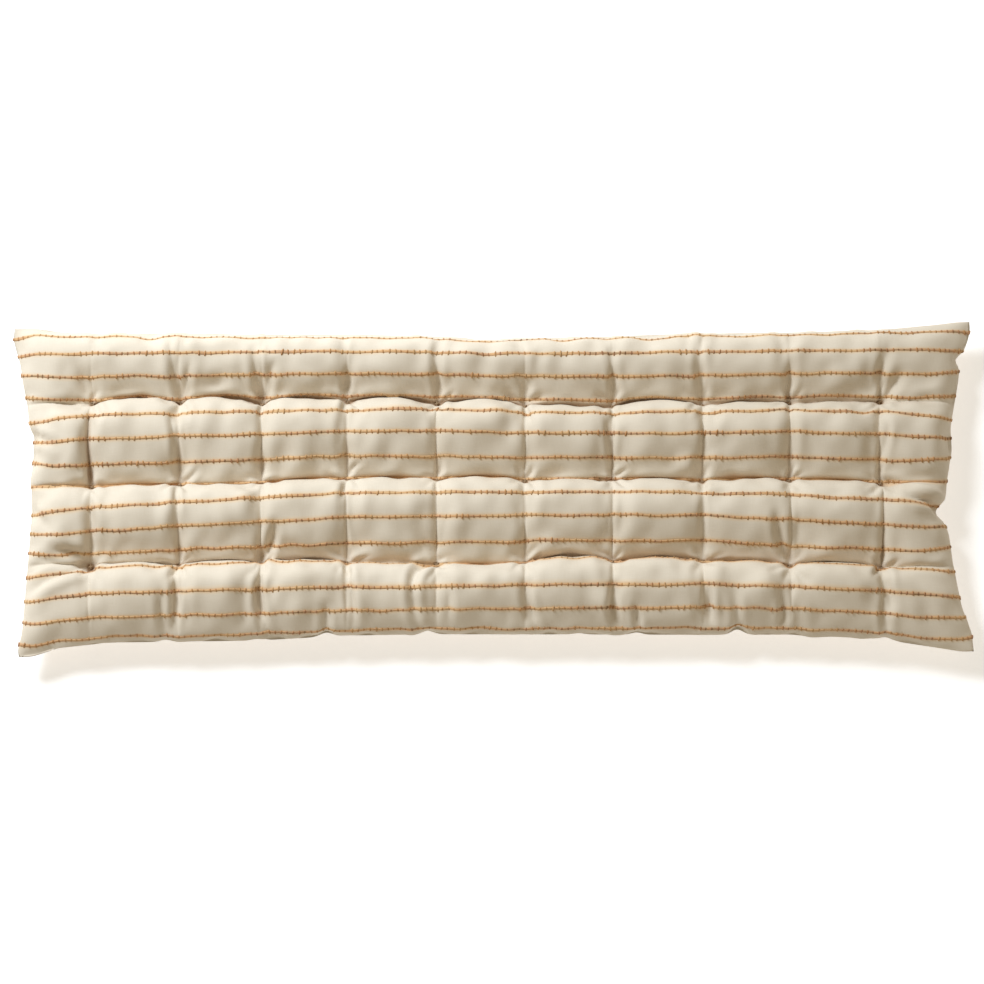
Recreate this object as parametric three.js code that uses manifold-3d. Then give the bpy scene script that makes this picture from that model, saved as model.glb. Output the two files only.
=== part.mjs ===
// Long bench cushion, tufted in three rows of ten and lying on its back.
// One filled cover, with a thread tie through it at every tuft.
// Millimetres, +Z up, X along the length and Y across the width.

import * as THREE from 'three';
import { mergeVertices } from 'three/addons/utils/BufferGeometryUtils.js';
import Module from 'manifold-3d';

const wasm = await Module();
wasm.setup();

// Heights, measured from the seam that runs round the middle of the cushion.
const tieDepth = 7;
const crownHeight = { inner: 42, side: 37, end: 34, corner: 27 };
const rowCrease = { inner: 8, end: 17 };
const columnCrease = { inner: 24, side: 20, end: 13 };
const restHeight = 34;
const restBlend = 4;

// Slope of the cloth where a puff dives into a crease, in degrees.
const acrossSlope = 68;
const alongSlope = 52;
// How far a row crease bows towards the back between two ties.
const creaseBow = 9;
// How late the corner ears flare out of the drawn-in sides.
const earPower = 1.9;
// Places of the mesh lines between two creases, as shares of the puff.
const puffShares = [0, 0.07, 0.2, 0.38, 0.62, 0.8, 0.93];
const endShares = [0, 0.1, 0.28, 0.5, 0.72, 0.9];

// Thread ties.
const threadRadius = 1.1;
const knotRadius = 1.5;
const knotLength = 7;
const knotLift = 0.9;
const tieClearance = 0.4;
const threadSides = 6;
const roomSides = 4;
const knotCapSteps = 1;

// Each row is one line of tufts across the width: its x, then the y of its two
// seams and of its three ties, measured from the middle of the cushion.
const tuftColumns = [
  { x: -500, frontSeam: -194.5, front: -96.6, middle: 3, back: 107.5, backSeam: 199.5 },
  { x: -390, frontSeam: -192, front: -95.5, middle: 6.5, back: 107.5, backSeam: 200 },
  { x: -287.5, frontSeam: -190, front: -94, middle: 9, back: 110, backSeam: 200 },
  { x: -181, frontSeam: -186, front: -93, middle: 13, back: 111, backSeam: 198.5 },
  { x: -69, frontSeam: -184, front: -93, middle: 11.5, back: 108.5, backSeam: 196 },
  { x: 41, frontSeam: -184, front: -91.5, middle: 11.5, back: 108.5, backSeam: 195 },
  { x: 150, frontSeam: -184, front: -91.5, middle: 13, back: 108.5, backSeam: 196 },
  { x: 262.5, frontSeam: -183.5, front: -90.5, middle: 11.5, back: 108.5, backSeam: 198.5 },
  { x: 371, frontSeam: -183.5, front: -96.6, middle: 11.5, back: 108.5, backSeam: 201 },
  { x: 485, frontSeam: -188.5, front: -99, middle: 8, back: 110, backSeam: 204 },
];

// Each row is one level of the two end seams, from the front corners to the back ones.
const endLevels = [
  { leftX: -588, leftY: -210, rightX: 600, rightY: -201 },
  { leftX: -580, leftY: -96, rightX: 576, rightY: -97 },
  { leftX: -577, leftY: 3, rightX: 570, rightY: 8 },
  { leftX: -581, leftY: 107, rightX: 583, rightY: 108 },
  { leftX: -600, leftY: 204, rightX: 600, rightY: 212 },
];

const coverColour = 0xe9dfce;
const threadColour = 0xd9c8a8;

// The net of creases: lines[i][j] is the crossing of line i with level j.
const lines = [
  endLevels.map((level) => [level.leftX, level.leftY]),
  ...tuftColumns.map((column) => [
    [column.x, column.frontSeam],
    [column.x, column.front],
    [column.x, column.middle],
    [column.x, column.back],
    [column.x, column.backSeam],
  ]),
  endLevels.map((level) => [level.rightX, level.rightY]),
];
const lastLine = lines.length - 1;
const lastLevel = endLevels.length - 1;

const mix = THREE.MathUtils.lerp;
const isSeamLine = (i) => i === 0 || i === lastLine;
const isSeamLevel = (j) => j === 0 || j === lastLevel;

// Circular arch over 0 to 1 that meets its ends at the given slope and is 1 high.
function arch(share, slope) {
  const rim = Math.cos(THREE.MathUtils.degToRad(slope));
  const reach = (2 * share - 1) * Math.sin(THREE.MathUtils.degToRad(slope));
  return (Math.sqrt(1 - reach * reach) - rim) / (1 - rim);
}

// The outermost cells flare towards their corner, so the share on a seam is eased.
function earShare(share, cell, lastCell) {
  if (cell === 0) return 1 - (1 - share) ** earPower;
  if (cell === lastCell) return share ** earPower;
  return share;
}

function planPoint(i, j, u, v) {
  const isEndCell = i === 0 || i === lastLine - 1;
  const isSideCell = j === 0 || j === lastLevel - 1;
  const easedU = isEndCell && isSideCell ? earShare(u, i, lastLine - 1) : u;
  const easedV = isEndCell && isSideCell ? earShare(v, j, lastLevel - 1) : v;
  const [a, b, c, d] = [lines[i][j], lines[i + 1][j], lines[i][j + 1], lines[i + 1][j + 1]];
  const x = mix(mix(a[0], c[0], easedV), mix(b[0], d[0], easedV), u);
  const y = mix(mix(a[1], b[1], easedU), mix(c[1], d[1], easedU), v);
  const bow = mix(isSeamLevel(j) ? 0 : creaseBow, isSeamLevel(j + 1) ? 0 : creaseBow, v);
  return [x, isEndCell ? y : y + bow * arch(u, alongSlope)];
}

const tuftHeight = (i, j) => (isSeamLine(i) || isSeamLevel(j) ? 0 : tieDepth);

function rowRise(i, j) {
  if (isSeamLevel(j)) return 0;
  return i === 0 || i === lastLine - 1 ? rowCrease.end : rowCrease.inner;
}

function columnRise(i, j) {
  if (isSeamLine(i)) return 0;
  if (i === 1 || i === lastLine - 1) return columnCrease.end;
  return j === 0 || j === lastLevel - 1 ? columnCrease.side : columnCrease.inner;
}

function crownOf(i, j) {
  const isEndCell = i === 0 || i === lastLine - 1;
  const isSideCell = j === 0 || j === lastLevel - 1;
  if (isEndCell && isSideCell) return crownHeight.corner;
  if (isEndCell) return crownHeight.end;
  return isSideCell ? crownHeight.side : crownHeight.inner;
}

// Height of the upper face: the creases' own curves, with the puff filling between them.
function puffHeight(i, j, u, v) {
  const along = arch(u, alongSlope);
  const across = arch(v, acrossSlope);
  const netHeight = (s, t) => mix(
    mix(tuftHeight(i, j), tuftHeight(i + 1, j), s),
    mix(tuftHeight(i, j + 1), tuftHeight(i + 1, j + 1), s),
    t,
  );
  const rowPart = (t) => mix(rowRise(i, j), rowRise(i, j + 1), t);
  const columnPart = (s) => mix(columnRise(i, j), columnRise(i + 1, j), s);
  const fill = crownOf(i, j) - netHeight(0.5, 0.5) - rowPart(0.5) - columnPart(0.5);
  return netHeight(u, v) + along * rowPart(v) + across * columnPart(u) + fill * along * across;
}

// The underside has the same puffs, pressed flat where they meet the surface below.
function restedHeight(height) {
  const over = height - restHeight;
  if (over <= -restBlend) return height;
  if (over >= restBlend) return restHeight;
  return restHeight - (restBlend - over) ** 2 / (4 * restBlend);
}

// Grid stations along one side: the cell number and the share within it.
function stations(cellCount, outerShares) {
  const list = [];
  for (let cell = 0; cell < cellCount; cell += 1) {
    const isOuter = cell === 0 || cell === cellCount - 1;
    for (const share of isOuter ? outerShares : puffShares) list.push([cell, share]);
  }
  list.push([cellCount - 1, 1]);
  return list;
}

function coverGeometry() {
  const columns = stations(lastLine, endShares);
  const rows = stations(lastLevel, puffShares);
  const positions = [];
  const faces = [];
  for (const side of [1, -1]) {
    for (const [i, u] of columns) {
      for (const [j, v] of rows) {
        const height = puffHeight(i, j, u, v);
        const z = side > 0 ? height : -restedHeight(height);
        positions.push(...planPoint(i, j, u, v), z);
      }
    }
  }
  const count = rows.length;
  const faceSize = columns.length * count;
  for (let c = 0; c < columns.length - 1; c += 1) {
    for (let r = 0; r < count - 1; r += 1) {
      const a = c * count + r;
      const b = a + count;
      // The diagonal runs towards the middle of each puff, so the corners stay soft.
      const leansRight = (columns[c][1] < 0.5) === (rows[r][1] < 0.5);
      const top = leansRight ? [a, b, b + 1, a, b + 1, a + 1] : [a, b, a + 1, b, b + 1, a + 1];
      faces.push(...top, ...top.map((index) => index + faceSize).reverse());
    }
  }
  const geometry = new THREE.BufferGeometry();
  geometry.setAttribute('position', new THREE.Float32BufferAttribute(positions, 3));
  geometry.setIndex(faces);
  return geometry;
}

function toSolid(geometry) {
  const bare = geometry.clone();
  bare.deleteAttribute('normal');
  bare.deleteAttribute('uv');
  const merged = mergeVertices(bare, 1e-3);
  return new wasm.Manifold(new wasm.Mesh({
    numProp: 3,
    vertProperties: new Float32Array(merged.attributes.position.array),
    triVerts: new Uint32Array(merged.index.array),
  }));
}

function toGeometry(solid) {
  const mesh = solid.getMesh();
  const geometry = new THREE.BufferGeometry();
  geometry.setAttribute('position', new THREE.BufferAttribute(mesh.vertProperties, 3));
  geometry.setIndex(new THREE.BufferAttribute(mesh.triVerts, 1));
  geometry.computeVertexNormals();
  return geometry;
}

// A thread straight through the cushion, with a short knotted stitch on each face.
// The room left for it in the cover has the same form, with four flat sides.
function tieSolid(place, turn, sides, grow) {
  const reach = 1 / Math.cos(Math.PI / sides);
  const thread = new THREE.CylinderGeometry(
    (threadRadius + grow) * reach, (threadRadius + grow) * reach, 2 * tieDepth + knotRadius, sides,
  );
  thread.rotateY(Math.PI / sides);
  thread.rotateX(Math.PI / 2);
  thread.rotateZ(turn);
  let solid = toSolid(thread.translate(place[0], place[1], 0));
  for (const side of [1, -1]) {
    const knot = new THREE.CapsuleGeometry(
      (knotRadius + grow) * reach, knotLength - 2 * knotRadius, knotCapSteps, sides,
    );
    knot.rotateY(Math.PI / sides);
    knot.rotateZ(Math.PI / 2 + turn);
    knot.translate(place[0], place[1], side * (tieDepth + knotLift));
    solid = solid.add(toSolid(knot));
  }
  return solid;
}

const cushion = new THREE.Group();
const coverMaterial = new THREE.MeshStandardMaterial({
  color: coverColour, roughness: 0.92, metalness: 0,
});
const threadMaterial = new THREE.MeshStandardMaterial({
  color: threadColour, roughness: 0.85, metalness: 0,
});

let coverSolid = toSolid(coverGeometry());
const rowNames = ['front', 'middle', 'back'];
const tieMeshes = [];
tuftColumns.forEach((column, index) => {
  rowNames.forEach((row, rowIndex) => {
    const place = [column.x, column[row]];
    const turn = THREE.MathUtils.degToRad(24) * Math.sin(index * 2.3 + rowIndex * 1.7);
    coverSolid = coverSolid.subtract(tieSolid(place, turn, roomSides, tieClearance));
    const tie = new THREE.Mesh(toGeometry(tieSolid(place, turn, threadSides, 0)), threadMaterial.clone());
    tie.name = `tie_${row}_${index + 1}`;
    tieMeshes.push(tie);
  });
});

const cover = new THREE.Mesh(toGeometry(coverSolid), coverMaterial);
cover.name = 'cushion';
cushion.add(cover, ...tieMeshes);

// The origin is the middle of the cushion on the surface that it lies on.
const box = new THREE.Box3().setFromObject(cushion);
cushion.position.set(-(box.min.x + box.max.x) / 2, -(box.min.y + box.max.y) / 2, -box.min.z);

export default cushion;
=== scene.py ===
import math

import bpy
import numpy as np
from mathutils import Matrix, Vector


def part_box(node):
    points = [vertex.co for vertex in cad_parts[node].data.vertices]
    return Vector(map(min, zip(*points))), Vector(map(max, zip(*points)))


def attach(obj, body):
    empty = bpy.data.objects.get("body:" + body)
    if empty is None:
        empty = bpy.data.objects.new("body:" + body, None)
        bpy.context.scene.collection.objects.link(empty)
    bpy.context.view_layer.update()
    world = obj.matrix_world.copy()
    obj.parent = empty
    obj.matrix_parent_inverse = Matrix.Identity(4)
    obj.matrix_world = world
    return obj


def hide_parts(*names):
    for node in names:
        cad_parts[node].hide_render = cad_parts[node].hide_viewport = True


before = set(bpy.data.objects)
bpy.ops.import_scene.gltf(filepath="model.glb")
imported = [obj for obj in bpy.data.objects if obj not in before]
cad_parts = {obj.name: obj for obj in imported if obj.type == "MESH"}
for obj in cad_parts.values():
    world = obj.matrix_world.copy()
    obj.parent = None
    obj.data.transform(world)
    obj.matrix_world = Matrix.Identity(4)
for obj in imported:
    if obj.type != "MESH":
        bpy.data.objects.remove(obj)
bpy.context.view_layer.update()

scene = bpy.context.scene
rowNames = ["front", "middle", "back"]
columnCount = 10


# helpers for the data of Blender

def newMesh(name, points, faces):
    mesh = bpy.data.meshes.new(name)
    mesh.from_pydata(points, [], faces)
    return mesh


def newObject(name, data):
    piece = bpy.data.objects.new(name, data)
    scene.collection.objects.link(piece)
    return piece


def readValues(items, key, width=1, kind=np.float32):
    # one value of each item of a mesh, with a row for each item where the value is a vector
    values = np.zeros(len(items) * width, kind)
    items.foreach_get(key, values)
    return values.reshape(-1, width) if width > 1 else values


def writeValues(items, key, values):
    items.foreach_set(key, np.asarray(values).astype(np.float32).ravel())


def plainMesh(source, name):
    # the evaluated result as a plain mesh, and the source removed
    graph = bpy.context.evaluated_depsgraph_get()
    mesh = bpy.data.meshes.new_from_object(source.evaluated_get(graph))
    mesh.name = name
    bpy.data.objects.remove(source)
    return mesh


def shadeSmooth(mesh):
    mesh.polygons.foreach_set("use_smooth", [True] * len(mesh.polygons))


# layout of the tufts and the seam

def tiePlace(row, column):
    # the middle of a tie's box in the frame, in metres
    low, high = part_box(f"tie_{row}_{column}")
    return (np.array(low) + np.array(high)) / 2


# the seam's outline as seen from above, in millimetres
longOutline = [
    # x, front y, back y
    (-600, -211, 203), (-570, -210, 204), (-540, -200, 199), (-477, -194, 198), (-290, -192, 197),
    (-181, -186, 197), (-69, -185, 195), (-10, -185, 193), (150, -185, 195), (262, -185, 198),
    (371, -184, 199), (485, -190, 202), (535, -197, 207), (585, -204, 212), (600, -203, 212),
]
shortOutline = [
    # y, left x, right x
    (-211, -588, 599), (-202, -590, 599), (-180, -586, 598), (-150, -584, 589), (-119, -582, 582),
    (-89, -580, 576), (-59, -578, 572), (-44, -577, 568), (-29, -576, 560), (-14, -577, 568),
    (17, -577, 571), (47, -574, 577), (77, -580, 576), (107, -584, 581), (137, -590, 586),
    (160, -593, 588), (175, -598, 593), (190, -602, 599), (203, -600, 601), (212, -600, 600),
]

# the y where the corners and the three rows of ties meet the short seams, front to back
leftLevels = (-211, -97, 2, 106, 203)
rightLevels = (-203, -98, 7, 107, 212)

# how each row of puffs is made, from the front seam to the back one
rowShapes = [
    # power that moves the crowns to the back, share of the channels lost at the back and at the front,
    # power that moves the deepest place of the channels, their strength
    (1.32, 0.35, 0.75, 1.60, 0.50),
    (1.12, 0.45, 0.00, 0.46, 0.90),
    (1.12, 0.35, 0.00, 0.50, 1.05),
    (1.25, 1.00, 0.00, 0.22, 0.60),
]
crownPowers, backShares, frontShares, channelPowers, channelStrengths = np.array(rowShapes).T

# how far each crease bows to the back between two ties, in millimetres, from left to right
creaseBows = {
    "front": (0, 3, 5, 6, 2, -1, 9, 6, 4, 6, 0),
    "middle": (0, 1, -1, 3, 3, 5, 1, 3, 4, 3, 0),
    "back": (0, 9, 10, 8, 7, 6, 2, 8, 4, 2, 0),
}

# how far the ties are pulled to the front, in millimetres, from left to right
tiePulls = {
    "front": (0, 0, 0, 0, 1, 1, 0, 0, 0, 0),
    "middle": (0, 1, 2, 1, 0, 1, 2, 2, 1, 1),
    "back": (1, 1, 3, 2, 0, 4, 5, 3, 0, 0),
}

# how far the first and last columns bow to the right, in millimetres, from front to back
columnBows = {1: (0, 1, -4, 0), 10: (0, 2, -2, 0)}

# how deep the sewn channels are drawn in between the ties, in millimetres
rowGrooves = {
    "front": (3, 6, 8, 9, 5, 6, 9, 9, 9, 7, 3),
    "middle": (4, 7, 7, 9, 9, 9, 7, 9, 9, 8, 3),
    "back": (3, 13, 12, 10, 12, 12, 10, 11, 9, 7, 3),
}
columnGrooves = {
    1: (2, 3, 9, 3), 2: (4, 4, 4, 5), 3: (4, 4, 4, 5), 4: (4, 4, 4, 4), 5: (3, 4, 4, 4),
    6: (4, 4, 3, 3), 7: (4, 4, 4, 4), 8: (4, 3, 4, 4), 9: (3, 4, 4, 4), 10: (3, 7, 4, 3),
}

# what a user would change on the cover, in metres and degrees
cover = {
    "clothLength": 0.124,      # cloth between two columns of ties
    "clothWidth": 0.512,       # cloth from the front seam to the back one
    "clothEnd": 0.106,         # cloth from the last ties to an end seam
    "seamHeight": 0.034,       # the seam runs this high above the floor
    "stripePitch": 0.0338,
    "tieDepth": 0.0045,        # height of the ties over the seam
    "innerCrown": 0.042,
    "sideCrown": 0.037,
    "endCrown": 0.034,
    "cornerCrown": 0.027,
    "rowRise": 0.007,
    "endRowRise": 0.017,
    "endRisePower": 4,
    "columnRise": 0.0215,
    "sideColumnRise": 0.019,
    "endColumnRise": 0.014,
    "acrossSlope": 68.0,
    "alongSlope": 52.0,
    "boxPower": 2.5,           # the puffs are this much fuller than round along the cushion
    "boxRoot": 1.2,
    "columnLean": 1.9,         # the channels between columns are deepest on the front side of each puff
    "clothShift": 1.0,         # how far the cloth moves with the bow of a crease
    "riseShift": 0.28,         # and with the rise of a puff
    "lean": 0.003,             # the puffs lean this far to the back at their crowns
    "leanHeight": 0.035,
    "unevenness": 0.0016,
    "unevenSpread": 32.0,
    "unevenFrom": 0.02,        # below this height the unevenness fades
    "skew": 0.25,              # how far the tops of the bows stray from the middle
    "skewLimit": 0.45,
    "seed": 7,
    "restBlend": 0.004,
    "yarnRoom": 0.0011,        # the yarns hold the cloth this far off the floor
    "puffSteps": 22,
    "endSteps": 15,
    "rowSteps": 18,
    "crowdAlong": 0.35,        # how far the grid crowds at the channels
    "crowdAcross": 0.5,
    "bunching": 0.45,          # how far the cloth bunches up over the puffs
    "seamFade": 2.0,           # and how soon it lies evenly near a seam
    "mergeFade": 1.2,
    "backMerge": (0.15, 0.55), # where the loss of a channel starts, and over which share of the row
    "frontMerge": (0.65, 0.6),
}


def mix(a, b, share):
    return a + (b - a) * share


def arch(share, slope):
    # a round arch of height one, with its slope at the ends in degrees
    rim = math.cos(math.radians(slope))
    reach = (2 * share - 1) * math.sin(math.radians(slope))
    return (np.sqrt(1 - reach * reach) - rim) / (1 - rim)


def softStep(share):
    share = np.clip(share, 0, 1)
    return share * share * (3 - 2 * share)


def boxArch(share):
    return (1 - np.abs(2 * share - 1) ** cover["boxPower"]) ** (1 / cover["boxRoot"])


def laidShare(share, slope):
    # a share of the cloth over an arch, as a share of the ground under it
    angle = (2 * share - 1) * math.radians(slope)
    return 0.5 + 0.5 * np.sin(angle) / math.sin(math.radians(slope))


def stations(steps, lengths, crowd):
    # cell number, share within the cell and cloth distance of each grid line
    cells, shares, distances, start = [], [], [], 0.0
    for cell, (count, length) in enumerate(zip(steps, lengths)):
        for step in range(count):
            share = step / count
            share -= crowd * math.sin(2 * math.pi * share) / (2 * math.pi)
            cells.append(cell)
            shares.append(share)
            distances.append(start + length * share)
        start += length
    cells.append(len(steps) - 1)
    shares.append(1.0)
    distances.append(start)
    return np.array(cells), np.array(shares), np.array(distances)


def outline(table, place, column):
    # one side of an outline, read at places along it
    values = np.array(table, float)
    return np.interp(place * 1000, values[:, 0], values[:, column]) / 1000


def tieNet():
    # x and y where the columns and the rows meet, with the seams around them
    net = np.zeros((columnCount + 2, 5, 2))
    net[0, :, 1] = np.array(leftLevels) / 1000
    net[-1, :, 1] = np.array(rightLevels) / 1000
    for column in range(1, columnCount + 1):
        for level, row in enumerate(rowNames, start=1):
            net[column, level] = tiePlace(row, column)[:2]
            net[column, level, 1] -= tiePulls[row][column - 1] / 1000
        net[column, [0, 4], 0] = net[column, [1, 3], 0]
    return net


def softNoise(shape, spread, random):
    # smooth unevenness over a grid, with a spread of one
    waves = np.fft.fft2(random.normal(size=shape))
    down = np.fft.fftfreq(shape[0])[:, None]
    over = np.fft.fftfreq(shape[1])[None, :]
    rough = np.real(np.fft.ifft2(waves * np.exp(-(down ** 2 + over ** 2) * spread)))
    return rough / rough.std()


def coverForm():
    # the upper face over the seam's plane, as a grid, with its cloth coordinates
    net = tieNet()
    last, top = columnCount, 3
    puffs = columnCount - 1
    xSteps = [cover["endSteps"]] + [cover["puffSteps"]] * puffs + [cover["endSteps"]]
    xLengths = [cover["clothEnd"]] + [cover["clothLength"]] * puffs + [cover["clothEnd"]]
    cellX, shareX, clothX = stations(xSteps, xLengths, cover["crowdAlong"])
    rowLengths = [cover["clothWidth"] / 4] * 4
    cellY, shareY, clothY = stations([cover["rowSteps"]] * 4, rowLengths, cover["crowdAcross"])
    i, j = np.meshgrid(cellX, cellY, indexing="ij")
    clothShareX, clothShareY = np.meshgrid(shareX, shareY, indexing="ij")
    gridU, gridV = np.meshgrid(clothX, clothY, indexing="ij")
    u = mix(clothShareX, laidShare(clothShareX, cover["alongSlope"]), cover["bunching"])
    v = laidShare(clothShareY, cover["acrossSlope"])
    isEnd = (i == 0) | (i == last)
    isSide = (j == 0) | (j == top)

    # the cloth lies evenly along the seams and bunches up over the puffs
    fromEnd = np.where(i == 0, u, np.where(i == last, 1 - u, 1.0))
    fromSide = np.where(j == 0, v, np.where(j == top, 1 - v, 1.0))
    seatedU = mix(clothShareX, u, np.clip(fromSide * cover["seamFade"], 0, 1))
    seatedV = mix(clothShareY, v, np.clip(fromEnd * cover["seamFade"], 0, 1))

    def columnLine(line):
        straight = mix(net[line, j, 0], net[line, j + 1, 0], seatedV)
        bows = np.zeros((columnCount + 2, 4))
        for column, values in columnBows.items():
            bows[column] = np.array(values) / 1000
        straight = straight + bows[line, j] * arch(v, cover["acrossSlope"])
        height = mix(net[line, j, 1], net[line, j + 1, 1], seatedV)
        straight = np.where(line == 0, outline(shortOutline, height, 1), straight)
        return np.where(line == last + 1, outline(shortOutline, height, 2), straight)

    across = arch(v ** crownPowers[j], cover["acrossSlope"])
    between = arch(v ** cover["columnLean"], cover["acrossSlope"])
    backStart, backReach = cover["backMerge"]
    frontStart, frontReach = cover["frontMerge"]
    merge = backShares[j] * softStep((v - backStart) / backReach)
    merge = merge + frontShares[j] * softStep((frontStart - v) / frontReach)
    merge = merge * softStep(fromEnd * cover["mergeFade"])
    along = mix(boxArch(u), 1.0, merge)
    bows = np.zeros((5, columnCount + 1))
    for level, row in enumerate(rowNames, start=1):
        bows[level] = np.array(creaseBows[row]) / 1000
    random = np.random.default_rng(cover["seed"])
    strays = random.uniform(-cover["skew"], cover["skew"], (5, columnCount + 1))
    stray = np.clip(mix(strays[j, i], strays[j + 1, i], v), -cover["skewLimit"], cover["skewLimit"])
    bend = arch(u ** np.exp(stray), cover["alongSlope"])
    x = mix(columnLine(i), columnLine(i + 1), seatedU)

    def rowLine(level):
        straight = mix(net[i, level, 1], net[i + 1, level, 1], seatedU) + bows[level, i] * bend
        straight = np.where(level == 0, outline(longOutline, x, 1), straight)
        return np.where(level == 4, outline(longOutline, x, 2), straight)

    y = mix(rowLine(j), rowLine(j + 1), seatedV)

    def tieHeight(line, level):
        onSeam = (line == 0) | (line == last + 1) | (level == 0) | (level == 4)
        return np.where(onSeam, 0.0, cover["tieDepth"])

    def rowRise(level):
        toEnd = np.where(i == 0, (1 - u) ** 2, np.where(i == last, u ** 2, 0.0))
        endShare = np.where(isEnd, 1 - (1 - toEnd) ** cover["endRisePower"], 0.0)
        rise = mix(cover["rowRise"], cover["endRowRise"], endShare)
        return np.where((level == 0) | (level == 4), 0.0, rise)

    def columnRise(line):
        rise = np.where(isSide, cover["sideColumnRise"], cover["columnRise"])
        rise = np.where((line == 1) | (line == last), cover["endColumnRise"], rise)
        return np.where((line == 0) | (line == last + 1), 0.0, rise)

    def netHeight(s, t):
        low = mix(tieHeight(i, j), tieHeight(i + 1, j), s)
        high = mix(tieHeight(i, j + 1), tieHeight(i + 1, j + 1), s)
        return mix(low, high, t)

    def crownRise(cell):
        # how far the crown of a puff rises over the creases and channels around it
        inner = np.where(isSide, cover["sideCrown"], cover["innerCrown"])
        end = np.where(isSide, cover["cornerCrown"], cover["endCrown"])
        atEnd = (cell <= 0) | (cell >= last)
        ties = cover["tieDepth"] * np.where(isSide, 0.5, 1.0) * np.where(atEnd, 0.5, 1.0)
        left = np.clip(cell, 0, last)
        drawn = mix(columnRise(left), columnRise(left + 1), 0.5)
        return np.where(atEnd, end, inner) - ties - mix(rowRise(j), rowRise(j + 1), 0.5) - drawn

    own = crownRise(i)
    before = mix(own, crownRise(np.maximum(i - 1, 0)), 0.5)
    after = mix(own, crownRise(np.minimum(i + 1, last)), 0.5)
    rise = own + (before - own) * (1 - u) ** 3 + (after - own) * u ** 3
    puffed = along * mix(rowRise(j), rowRise(j + 1), v) + rise * along * across
    z = netHeight(u, v) + between * mix(columnRise(i), columnRise(i + 1), u) + puffed
    clothV = gridV + mix(bows[j, i], bows[j + 1, i], clothShareY) * bend * cover["clothShift"]
    clothV = clothV + puffed * cover["riseShift"]
    noise = softNoise(z.shape, cover["unevenSpread"], random)
    z = z + cover["unevenness"] * noise * np.clip(z / cover["unevenFrom"], 0, 1)
    y = y + cover["lean"] * np.clip((z - cover["tieDepth"]) / cover["leanHeight"], 0, 1)
    return np.stack([x, y, z], -1), gridU, gridV, clothV


# cloth from each crease to the stripe beside it, in millimetres, from the front seam's row to the back one
stripeStarts = [
    # left end, middle, right end
    (-20, -18, -16), (-16, 1, -6), (1, 6, 4), (12, 17, 13),
]
# cloth from that stripe to itself and the three that follow it, in millimetres
stripeSteps = (0, 38, 69, 98)
# the first of them would lie in front of the seam and is left out
stripeCount = len(stripeStarts) * len(stripeSteps) - 1


def wovenCount(gridU, clothV):
    # the cloth's width counted in stripes: a whole number on each stripe
    creases = cover["clothWidth"] / 4 * np.arange(len(stripeStarts))[:, None]
    steps = np.array(stripeSteps) / 1000
    left, middle, right = [
        (creases + np.array(starts)[:, None] / 1000 + steps).ravel() for starts in zip(*stripeStarts)
    ]
    count = np.zeros_like(clothV)
    for column in range(len(clothV)):
        place = 2 * gridU[column, 0] / gridU[-1, 0] - 1
        lines = middle + (right - left) / 2 * place + ((right + left) / 2 - middle) * place ** 2
        lines = np.append(lines, 2 * lines[-1] - lines[-2])
        count[column] = np.interp(clothV[column], lines, np.arange(-1, stripeCount + 1))
    return count


def panelFaces(upper, under):
    def quads(index):
        return np.stack([index[:-1, :-1], index[1:, :-1], index[1:, 1:], index[:-1, 1:]], -1).reshape(-1, 4)
    return np.concatenate([quads(upper), quads(under)[:, ::-1]])


def coverMesh():
    # two panels that share their seam, with the flat cut of the cloth beside the filled form
    form, gridU, gridV, clothV = coverForm()
    columns, rows = gridU.shape
    upper = np.arange(columns * rows).reshape(columns, rows)
    inside = np.zeros((columns, rows), bool)
    inside[1:-1, 1:-1] = True
    under = upper.copy()
    under[inside] = columns * rows + np.arange(inside.sum())

    def bothPanels(first, second, third, turned):
        panel = np.stack([first, second, third], -1)
        return np.concatenate([panel.reshape(-1, 3), panel[inside] * np.array([1, 1, turned])])

    filled = bothPanels(form[..., 0], form[..., 1], form[..., 2], -1)
    flat = bothPanels(gridU, clothV, np.zeros_like(gridU), 1)
    spots = bothPanels(gridU, gridV, inside * 1.0, -1)
    woven = bothPanels(gridU, wovenCount(gridU, clothV) * cover["stripePitch"], gridV, 1)
    return filled, flat, woven, spots, upper, under, panelFaces(upper, under)


# what a user would change in the filling of the cover
filling = {
    "frames": 30,
    "quality": 6,
    "pressure": 4.0,
    "stretch": 60.0,
    "shear": 10.0,
    "bending": 0.15,
    "clothMass": 0.3,
    "damping": 5.0,
    "holdRow": 0.06,
    "holdColumn": 0.02,
    "holdSeam": 0.2,
}


def holdGroups(upper, under, pointCount):
    # how firmly each point is held: the ties and corners hard, the creases and the seam softly
    hold = np.zeros(upper.shape)
    lines = [cover["endSteps"] + cover["puffSteps"] * column for column in range(columnCount)]
    levels = [cover["rowSteps"] * (row + 1) for row in range(len(rowNames))]
    hold[lines, :] = filling["holdColumn"]
    hold[:, levels] = filling["holdRow"]
    hold[[0, -1], :] = filling["holdSeam"]
    hold[:, [0, -1]] = filling["holdSeam"]
    hold[np.ix_(lines, levels)] = 1.0
    hold[np.ix_([0, -1], [0, -1])] = 1.0
    weights = np.zeros(pointCount)
    weights[under.ravel()] = hold.ravel()
    weights[upper.ravel()] = hold.ravel()
    return weights


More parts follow.
